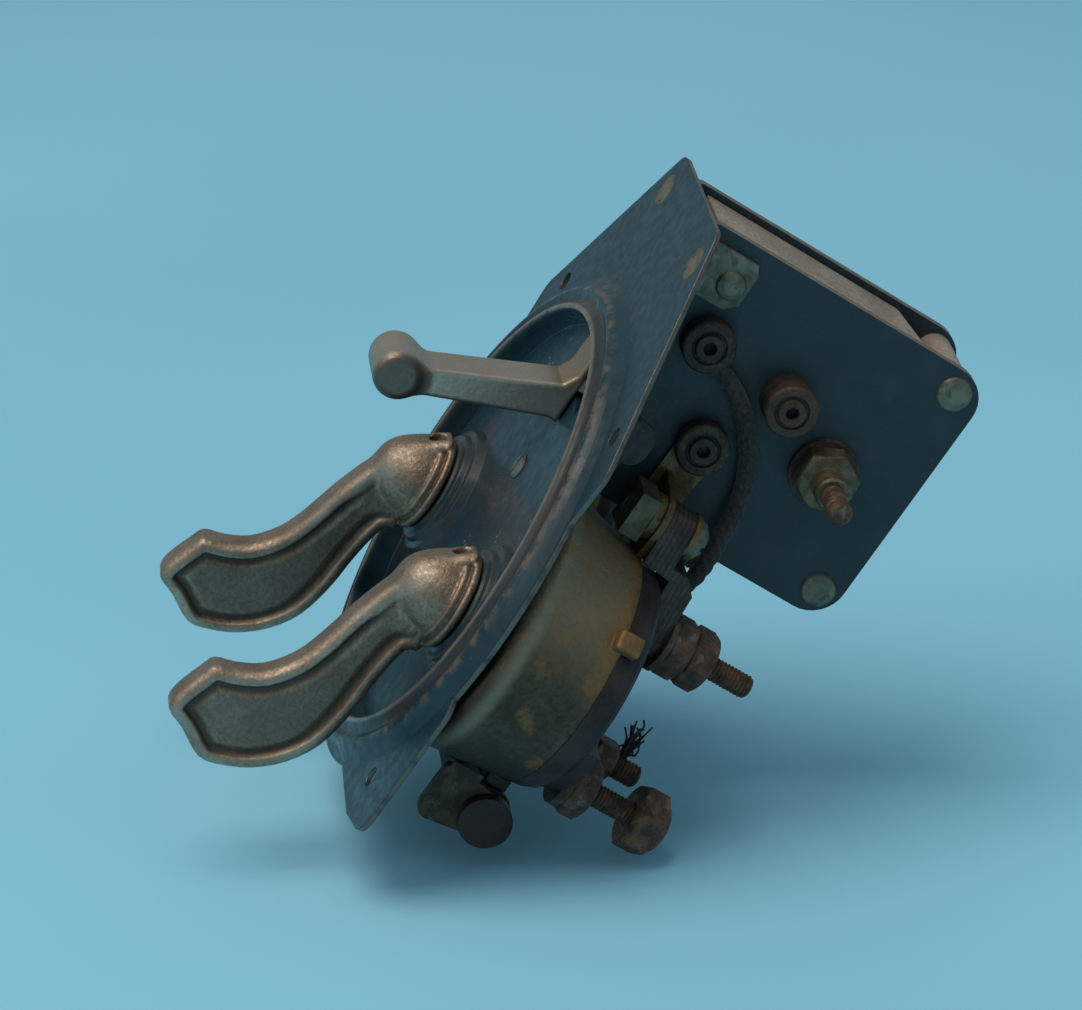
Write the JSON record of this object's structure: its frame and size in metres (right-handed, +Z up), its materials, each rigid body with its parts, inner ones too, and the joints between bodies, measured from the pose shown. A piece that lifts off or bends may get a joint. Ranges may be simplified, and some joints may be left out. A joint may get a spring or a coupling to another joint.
{
  "type": "vehicle panel lever switch with circuit breaker",
  "caption": "Flanged round dial plate with S-shaped turning levers, a small selector lever, drum switches and an open breaker box behind.",
  "frame": {"origin": "midway between the upper mounting holes, on the front face of the plate's flat rim", "axes": "+X to the right and +Z up as the driver sees the dial, +Y back behind the panel; the dial's centre is at z -39.3 mm"},
  "size_m": [0.108, 0.104, 0.1348],
  "materials": {
    "enamel": "dark navy-teal enamel, worn to bare metal on the ring and the sheared edges",
    "lever_metal": "worn and pitted nickel plate",
    "plated_steel": "dulled plating with greenish tarnish",
    "tarnished_brass": "olive-brown tarnish",
    "rusted_steel": "reddish-brown oxide",
    "moulded_plastic": "dark purple-brown moulding",
    "fibre_board": "dark board with paler cut edges",
    "copper_wire": "oxidised copper winding",
    "braid": "dirty braided sleeve"
  },
  "bodies": {
    "housing": {"face_plate": "enamel", "ear_rivets": "plated_steel", "clip_nuts": "plated_steel", "shaft_bushings": "tarnished_brass", "selector_pivot": "plated_steel", "case_right": "tarnished_brass", "case_left": "tarnished_brass", "base_right": "moulded_plastic", "base_left": "moulded_plastic", "detent_balls": "plated_steel", "detent_springs": "plated_steel", "contact_buttons": "tarnished_brass", "studs_right": "rusted_steel", "studs_left": "rusted_steel", "stud_washers": "rusted_steel", "stud_nuts_right": "rusted_steel", "stud_nuts_left": "rusted_steel", "cap_nut": "rusted_steel", "resistor_bracket": "tarnished_brass", "resistor_spool": "moulded_plastic", "panel_near": "fibre_board", "panel_far": "fibre_board", "panel_brackets": "plated_steel", "bracket_rivets": "plated_steel", "spacer_posts": "plated_steel", "post_rivets": "plated_steel", "breaker_yoke": "plated_steel", "coil_core": "plated_steel", "coil_spool": "fibre_board", "coil_winding": "copper_wire", "hinge_pin": "plated_steel", "contact_bracket": "tarnished_brass", "contact_screw": "tarnished_brass", "cup_terminals": "tarnished_brass", "aux_stud": "rusted_steel", "aux_washer": "tarnished_brass", "aux_nut": "rusted_steel", "terminal_strap": "tarnished_brass", "link_bar": "rusted_steel", "link_screw": "plated_steel", "link_washers": "tarnished_brass", "link_nut": "rusted_steel", "braided_lead": "braid", "wire_stub": "braid"},
    "right_control": {"lever_right": "lever_metal", "shaft_right": "plated_steel", "set_screw_right": "plated_steel", "rotor_right": "moulded_plastic", "wiper_right": "tarnished_brass"},
    "left_control": {"lever_left": "lever_metal", "shaft_left": "plated_steel", "set_screw_left": "plated_steel", "rotor_left": "moulded_plastic", "wiper_left": "tarnished_brass"},
    "selector": {"selector_lever": "lever_metal", "selector_arm": "plated_steel", "selector_wiper": "tarnished_brass"},
    "breaker_armature": {"armature": "plated_steel", "armature_contact": "plated_steel"}
  },
  "joints": [
    {"name": "right_lever_turn", "type": "hinge", "parent": "housing", "child": "right_control", "pos_m": [0.028, 0, -0.0463], "axis": [0, 1, 0], "range_deg": [-60, 20]},
    {"name": "left_lever_turn", "type": "hinge", "parent": "housing", "child": "left_control", "pos_m": [-0.028, 0, -0.0463], "axis": [0, 1, 0], "range_deg": [-20, 60]},
    {"name": "selector_swing", "type": "hinge", "parent": "housing", "child": "selector", "pos_m": [0, 0, -0.0257], "axis": [0, 1, 0], "range_deg": [-18, 18]},
    {"name": "armature_pull_in", "type": "hinge", "parent": "housing", "child": "breaker_armature", "pos_m": [0, 0.049, 0.0317], "axis": [1, 0, 0], "range_deg": [-5, 0], "stiffness_Nm_per_rad": 0.01, "springref_deg": 5.73}
  ]
}
